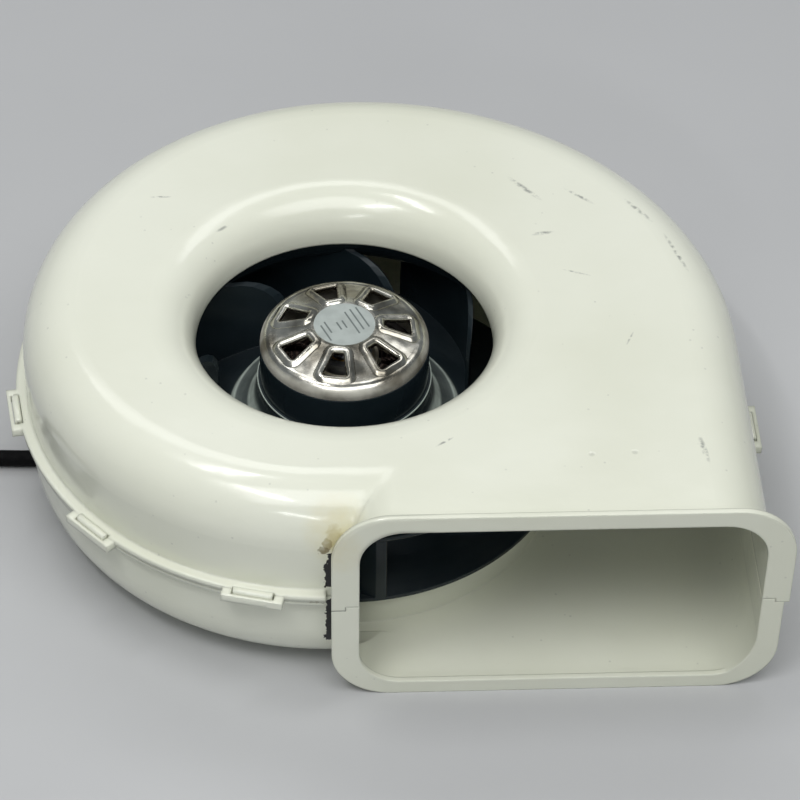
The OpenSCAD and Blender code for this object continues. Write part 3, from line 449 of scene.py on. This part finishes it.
def rounded_outline(half, corner, inset, steps=5):
    """Corner points of a rounded rectangle, drawn in by inset."""
    outline = []
    for k, (side_x, side_y) in enumerate(((1, 1), (-1, 1), (-1, -1), (1, -1))):
        for i in range(steps):
            a = math.radians(90 * k + 90 * i / (steps - 1))
            outline.append((
                side_x * (half[0] - corner) + (corner - inset) * math.cos(a),
                side_y * (half[1] - corner) + (corner - inset) * math.sin(a),
            ))
    return outline


points = []
faces = []
for (centre_x, centre_y), r, direction in clip_spots:
    facing = Matrix.Rotation(math.radians(direction), 2)
    first = len(points)
    for inset, height in hook_section:
        ring = rounded_outline(hook_half, hook_corner, inset)
        for x, y in ring:
            at = facing @ Vector((r + hook_middle + x, y))
            points.append((centre_x + at.x, centre_y + at.y, seam_z + height))
    count = len(ring)
    for j in range(len(hook_section) - 1):
        for k in range(count):
            n = (k + 1) % count
            low = first + j * count
            faces.append((low + k, low + n, low + count + n, low + count + k))
    faces.append([first + (len(hook_section) - 1) * count + k for k in range(count)])
smooth_piece("hook_backs", points, faces, lower_finish, "housing")


# ---------- Motor flange ----------
# Die-cast aluminium plate with the bearing tube and threaded bosses, screwed up into the raised
# floor with four pan-head screws, and closed below by a pressed-in cap.


def cast_metal(name):
    """Die-cast aluminium: matt skin with flow marks and a sandy grain."""
    finish, tree, skin, place = new_finish(name, metallic=1.0)
    shade = blended(tree, clouds(tree, place, 40), tint(186, 188, 190), tint(150, 152, 155))
    paint(tree, skin, shade, clouds(tree, place, 90, 0.42, 0.62))
    relief(tree, skin, clouds(tree, place, 1100), 0.00012)
    return finish


def turned_metal(name, colour, worn, roughness=(0.18, 0.32), pitch=900):
    """Turned or ground metal, with fine rings round the Z axis."""
    finish, tree, skin, place = new_finish(name, metallic=1.0)
    rings = add(tree, "TexWave", {
        "Vector": place, "Scale": pitch, "Distortion": 0.4, "Detail": 2.0,
    }, wave_type="RINGS", rings_direction="Z")
    shade = blended(tree, clouds(tree, place, 120), tint(*colour), tint(*worn))
    paint(tree, skin, shade, clouds(tree, place, 200, *roughness))
    relief(tree, skin, rings.outputs["Fac"], 0.00001)
    return finish


dress("motor_flange", cast_metal("cast_aluminium"))
dress("flange_screws", turned_metal("screw_steel", (176, 178, 180), (140, 142, 146)))
dress("bearing_cap", moulded("black_plastic", (34, 35, 37), (48, 49, 51)))


# ---------- Electronics ----------
# Ring-shaped circuit board on the flange's bosses, with the power parts and the plug that takes
# the lead's five conductors.
board_finish, tree, skin, place = new_finish("board_laminate", gloss=0.5)
tracks = add(tree, "TexBrick", {
    "Vector": place, "Scale": 160.0, "Mortar Size": 0.06, "Color1": tint(38, 96, 58),
    "Color2": tint(34, 88, 54), "Mortar": tint(70, 132, 86), "Brick Width": 0.9, "Row Height": 0.35,
})
shade = blended(tree, clouds(tree, place, 90, 0.0, 0.5), tracks.outputs["Color"], tint(28, 70, 46))
paint(tree, skin, shade, clouds(tree, place, 120, 0.28, 0.42))
relief(tree, skin, tracks.outputs["Fac"], 0.00004)
dress("circuit_board", board_finish)
dress("board_components", moulded("component_black", (36, 37, 40), (58, 58, 60), roughness=(0.4, 0.6)))
dress("board_screws", turned_metal("screw_brass", (196, 170, 104), (160, 136, 84)))
dress("lead_wires", moulded("wire_insulation", (168, 52, 42), (140, 42, 36), roughness=(0.35, 0.5)))


# ---------- Stator ----------
# Stack of punched electrical sheets between moulded end frames, wound with enamelled copper wire
# and pressed over the flange's bearing tube.
core_finish, tree, skin, place = new_finish("lamination_steel", metallic=0.9)
sheets = add(tree, "TexWave", {
    "Vector": place, "Scale": 320.0, "Distortion": 0.0,
}, wave_type="BANDS", bands_direction="Z")
shade = blended(tree, sheets.outputs["Fac"], tint(120, 122, 126), tint(84, 84, 88))
paint(tree, skin, shade, clouds(tree, place, 240, 0.35, 0.6))
relief(tree, skin, sheets.outputs["Fac"], 0.00008)
dress("stator_core", core_finish)
dress("stator_insulators", moulded("insulator_plastic", (222, 214, 190), (204, 196, 170)))

coil_finish, tree, skin, place = new_finish("winding_copper", metallic=0.8)
wires = add(tree, "TexWave", {
    "Vector": place, "Scale": 420.0, "Distortion": 1.2, "Detail": 1.0,
}, wave_type="RINGS", rings_direction="SPHERICAL")
shade = blended(tree, wires.outputs["Fac"], tint(74, 62, 56), tint(38, 33, 32))
paint(tree, skin, shade, clouds(tree, place, 300, 0.25, 0.4))
relief(tree, skin, wires.outputs["Fac"], 0.00025)
dress("stator_windings", coil_finish)


# ---------- Bearings ----------
# Two deep-groove ball bearings in the flange's tube. A spring washer under the upper one takes
# up the play.
race_finish = turned_metal("bearing_steel", (188, 191, 195), (150, 152, 156))
ball_finish = turned_metal("ball_steel", (214, 216, 220), (186, 188, 192), roughness=(0.06, 0.12))
cage_finish = turned_metal("cage_brass", (190, 156, 92), (156, 124, 72), roughness=(0.25, 0.4))
for level_name in ("upper", "lower"):
    dress(level_name + "_bearing_outer", race_finish)
    dress(level_name + "_bearing_inner", race_finish)
    dress(level_name + "_bearing_balls", ball_finish)
    dress(level_name + "_bearing_cage", cage_finish)
dress("preload_spring", turned_metal("spring_steel", (176, 178, 180), (130, 132, 138)))


# ---------- Rotor ----------
# Deep-drawn, bright-plated steel can with cooling windows whose edges are pressed up into low
# collars. The magnet strip is glued inside, and the brass bush takes the ground shaft.
can_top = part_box("rotor_can")[1].z
window_count = 7
window_start = math.radians(-100)
window_in_r = 0.0195
window_out_r = 0.034
window_in_w = 0.007
window_out_w = 0.013
window_corner = 0.0016
crown_flat_r = 0.017
crown_round_r = 0.0367
crown_drop = 0.0055
# The can's side is duller than its crown: from how far down, in full from where, and by how much
side_start = 0.0065
side_end = 0.0085
side_dullness = 0.45
collar_corner_steps = 6
collar_sheet = 0.0003
# Section of a collar: distance from the window's edge and height above the crown
collar_section = [
    (-0.00035, -0.0018), (-0.0004, -0.0004), (-0.0001, 0.0006), (0.0005, 0.0011), (0.0013, 0.0013),
    (0.0021, 0.0011), (0.0029, 0.0006), (0.0036, 0.0001), (0.0042, -0.0003),
]

crown_finish, tree, skin, place = new_finish("can_chrome", metallic=1.0)
shade = blended(tree, clouds(tree, place, 50, sharp=0.35), tint(214, 212, 202), tint(128, 123, 111))
height = add(tree, "SeparateXYZ", {"Vector": place}).outputs["Z"]
dull = add(tree, "MapRange", {
    "Value": height, "From Min": can_top - side_start, "From Max": can_top - side_end,
    "To Min": 0.0, "To Max": side_dullness,
}).outputs["Result"]
gloss = add(tree, "Math", {0: clouds(tree, place, 110, 0.15, 0.28), 1: dull}, operation="ADD").outputs[0]
plated = add(tree, "Math", {0: 1.0, 1: dull}, operation="SUBTRACT").outputs[0]
tree.links.new(plated, skin.inputs["Metallic"])
paint(tree, skin, shade, gloss)
relief(tree, skin, clouds(tree, place, 70, detail=2.0, sharp=1.0), 0.0004)
dress("rotor_can", crown_finish)


def crown_height(r):
    """Height of the crown's conical top at radius r."""
    fall = (r - crown_flat_r) * crown_drop / (crown_round_r - crown_flat_r)
    return can_top - max(fall, 0)


def window_edge():
    """Points and outward directions round one window, which lies along +X."""
    edge = []
    corners = [
        (window_in_r, -window_in_w / 2, 180, 270), (window_out_r, -window_out_w / 2, 270, 360),
        (window_out_r, window_out_w / 2, 0, 90), (window_in_r, window_in_w / 2, 90, 180),
    ]
    for x, y, start, end in corners:
        inset_x = window_corner if x == window_in_r else -window_corner
        inset_y = window_corner if y < 0 else -window_corner
        for i in range(collar_corner_steps + 1):
            a = math.radians(start + (end - start) * i / collar_corner_steps)
            out = Vector((math.cos(a), math.sin(a)))
            edge.append((Vector((x + inset_x, y + inset_y)) + out * window_corner, out))
    return edge


points = []
faces = []
ring = window_edge()
steps = len(collar_section)
for i in range(window_count):
    turn = Matrix.Rotation(window_start + i * math.tau / window_count, 2)
    first = len(points)
    for edge_point, out in ring:
        for away, height in collar_section:
            at = edge_point + out * away
            spun = turn @ at
            points.append((spun.x, spun.y, crown_height(at.length) + height))
    for k in range(len(ring)):
        n = (k + 1) % len(ring)
        for j in range(steps - 1):
            faces.append((first + k * steps + j, first + n * steps + j,
                first + n * steps + j + 1, first + k * steps + j + 1))
window_collars = smooth_piece("window_collars", points, faces, crown_finish, "rotor")
thicken = window_collars.modifiers.new("sheet", "SOLIDIFY")
thicken.thickness = collar_sheet
thicken.offset = -1

# Plain bars stand where a label has its print
label_turn = -66
bar_half_w = 0.00045
bar_half_h = 0.002
# Each bar: place along and across the print's direction, and half its length
bars = [
    (-0.0010, 0.0105, 0.0080), (-0.0006, 0.0072, 0.0083), (0.0006, 0.0040, 0.0088),
    (-0.0014, -0.0085, 0.0045), (0.0020, -0.0112, 0.0062), (0.0, 0.0, 0.0030), (0.0, -0.0030, 0.0030),
]
label_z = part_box("rotor_label")[1].z
label_finish, tree, skin, place = new_finish("label_film", gloss=0.5)
shade = blended(tree, clouds(tree, place, 160, 0.0, 0.6), tint(172, 180, 176), tint(156, 163, 159))
for along, aside, half_length in bars:
    middle = Matrix.Rotation(math.radians(label_turn), 2) @ Vector((along, aside))
    bar_half = (half_length, bar_half_w, bar_half_h)
    bar = box_mark(tree, place, (middle.x, middle.y, label_z), bar_half, label_turn)
    shade = blended(tree, bar, shade, tint(104, 112, 110))
paint(tree, skin, shade, clouds(tree, place, 90, 0.3, 0.42))
relief(tree, skin, clouds(tree, place, 260), 0.00004)
dress("rotor_label", label_finish)

magnet_finish = moulded("magnet_ferrite", (74, 71, 70), (56, 53, 52), roughness=(0.6, 0.8), gloss=0.3)
dress("rotor_magnets", magnet_finish)
dress("rotor_shaft", turned_metal("shaft_steel", (198, 200, 204), (170, 172, 178)))
dress("shaft_bush", turned_metal("bush_brass", (204, 180, 116), (170, 146, 90)))
dress("retaining_ring", turned_metal("ring_steel", (120, 124, 128), (96, 98, 104)))


# ---------- Impeller ----------
# Backward-curved blades between a dished disc and a flared shroud, moulded in glossy black
# plastic and pressed over the rotor can. A film of grey dust lies on what faces up. Light bands and
# a thin bright line on the hub's flare are painted reflections and a painted highlight.
dust_colour = (76, 80, 80)
dust_share = 0.12
dust_dullness = 0.4
blade_rounding = 0.0006
painted_reflection_colour = (196, 208, 198)
# Painted reflection bands on the hub's flare: from and to which radius, and how strong
hub_reflection_bands = [(0.0430, 0.0620, 0.16), (0.0452, 0.0506, 0.95), (0.0562, 0.0604, 0.7)]
flare_top_z = 0.0702
# Painted highlight line along the flare's upper edge
ledge_z = 0.0705
ledge_half_h = 0.0006
ledge_r = 0.0446
ledge_half_w = 0.0006
ledge_highlight_strength = 0.8

blade_finish, tree, skin, place = new_finish("impeller_plastic", gloss=0.3)
up = add(tree, "SeparateXYZ", {"Vector": add(tree, "NewGeometry").outputs["Normal"]})
film = times(tree, up.outputs["Z"], clouds(tree, place, 35, 0.0, dust_share))
shade = blended(tree, clouds(tree, place, 25), tint(32, 41, 45), tint(38, 47, 52))
shade = blended(tree, film, shade, tint(*dust_colour))
spot = add(tree, "SeparateXYZ", {"Vector": place}).outputs
from_axis = add(tree, "VectorMath", {
    0: add(tree, "CombineXYZ", {"X": spot["X"], "Y": spot["Y"]}).outputs[0]
}, operation="LENGTH").outputs["Value"]
below = add(tree, "Math", {0: spot["Z"], 1: flare_top_z}, operation="LESS_THAN").outputs[0]
# Painted reflections: light rings on the flare where glossy plastic would mirror the bright throat
for start, end, strength in hub_reflection_bands:
    off = apart(tree, from_axis, (start + end) / 2)
    reflection_band = add(tree, "MapRange", {
        "Value": off, "From Min": (end - start) / 2, "From Max": (end - start) / 6,
        "To Min": 0.0, "To Max": strength,
    }, interpolation_type="SMOOTHSTEP").outputs["Result"]
    reflection_band = times(tree, times(tree, reflection_band, below), clouds(tree, place, 60, 0.6, 1.0))
    shade = blended(tree, reflection_band, shade, tint(*painted_reflection_colour))
# Painted highlight: a thin bright line on the edge at the flare's top
beside = add(tree, "Math", {0: apart(tree, spot["Z"], ledge_z), 1: ledge_half_h}, operation="LESS_THAN")
around = add(tree, "Math", {0: apart(tree, from_axis, ledge_r), 1: ledge_half_w}, operation="LESS_THAN")
ledge_highlight = times(tree, beside.outputs[0], around.outputs[0])
shade = blended(tree, times(tree, ledge_highlight, ledge_highlight_strength), shade, tint(*painted_reflection_colour))
dusty = add(tree, "Math", {0: up.outputs["Z"], 1: dust_dullness}, operation="MULTIPLY", use_clamp=True)
gloss = add(tree, "Math", {0: clouds(tree, place, 45, 0.16, 0.26), 1: dusty.outputs[0]}, operation="ADD")
paint(tree, skin, shade, gloss.outputs[0])
relief(tree, skin, clouds(tree, place, 120, sharp=1.0), 0.0001, blade_rounding)
dress("impeller_wheel", blade_finish)
dress("impeller_shroud", blade_finish)


# ---------- Floor and light ----------
# A plain pale table in a white room. Two wide lamps and a low one in front light the blower softly,
# and three narrow strips on the ceiling draw the streaks on its shoulder.
floor_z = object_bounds()[0][2]
floor_colour = (192, 193, 194)
floor_shade = (184, 185, 186)
reach = 6
lamp_aim = Vector((0, 0, 0.06))
strip_h = 1.7
strip_turn = math.radians(-30)
# Each strip: place on the ceiling as a share of its height, length, width and power
strips = [
    ((-0.275, 0.10), 0.55, 0.07, 4.2), ((-0.283, -0.44), 0.6, 0.07, 4.2), ((-0.31, -1.60), 0.8, 0.10, 5),
]

table_finish, tree, skin, place = new_finish("table", gloss=0.2)
shade = blended(tree, clouds(tree, place, 4, 0, 0.3), tint(*floor_colour), tint(*floor_shade))
paint(tree, skin, shade, clouds(tree, place, 30, 0.7, 0.85))
table_mesh = bpy.data.meshes.new("table")
table_mesh.from_pydata([
    (-reach, -reach, floor_z), (reach, -reach, floor_z), (reach, reach, floor_z), (-reach, reach, floor_z)
], [], [(0, 1, 2, 3)])
table_mesh.materials.append(table_finish)
table = bpy.data.objects.new("table", table_mesh)
bpy.context.scene.collection.objects.link(table)
table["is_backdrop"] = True


def lamp(name, place, size, power, turn=0.0):
    """A flat lamp that faces the blower."""
    light = bpy.data.lights.new(name, "AREA")
    light.shape = "RECTANGLE"
    light.size, light.size_y = size
    light.energy = power
    holder = bpy.data.objects.new(name, light)
    holder.location = place
    aim = (lamp_aim - Vector(place)).to_track_quat("-Z", "Y")
    holder.rotation_euler = (aim.to_matrix() @ Matrix.Rotation(turn, 3, "Z")).to_euler()
    bpy.context.scene.collection.objects.link(holder)


for i, ((x, y), length, width, power) in enumerate(strips):
    lamp("strip_%d" % i, (x * strip_h, y * strip_h, strip_h), (length, width), power, strip_turn)
lamp("ceiling_front", (0.15, -0.95, 2.2), (2.4, 1.2), 30)
lamp("ceiling_back", (0.15, 1.3, 2.2), (2.4, 0.6), 13)
lamp("window_front", (0.35, -1.9, 0.9), (1.6, 0.8), 1.6)

# How bright the white room is, as light and in reflections
room_colour = (0.86, 0.94, 1.0, 1)
room_level = 0.12
room_mirrored = 0.22
room = bpy.data.worlds.new("room")
room.use_nodes = True
room_light = room.node_tree.nodes["Background"]
room_light.inputs["Color"].default_value = room_colour
mirrored = add(room.node_tree, "LightPath").outputs["Is Glossy Ray"]
strength = add(room.node_tree, "MapRange", {
    "Value": mirrored, "To Min": room_level, "To Max": room_mirrored,
})
room.node_tree.links.new(strength.outputs["Result"], room_light.inputs["Strength"])
bpy.context.scene.world = room
bpy.context.scene.view_settings.view_transform = "Standard"

low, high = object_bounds()
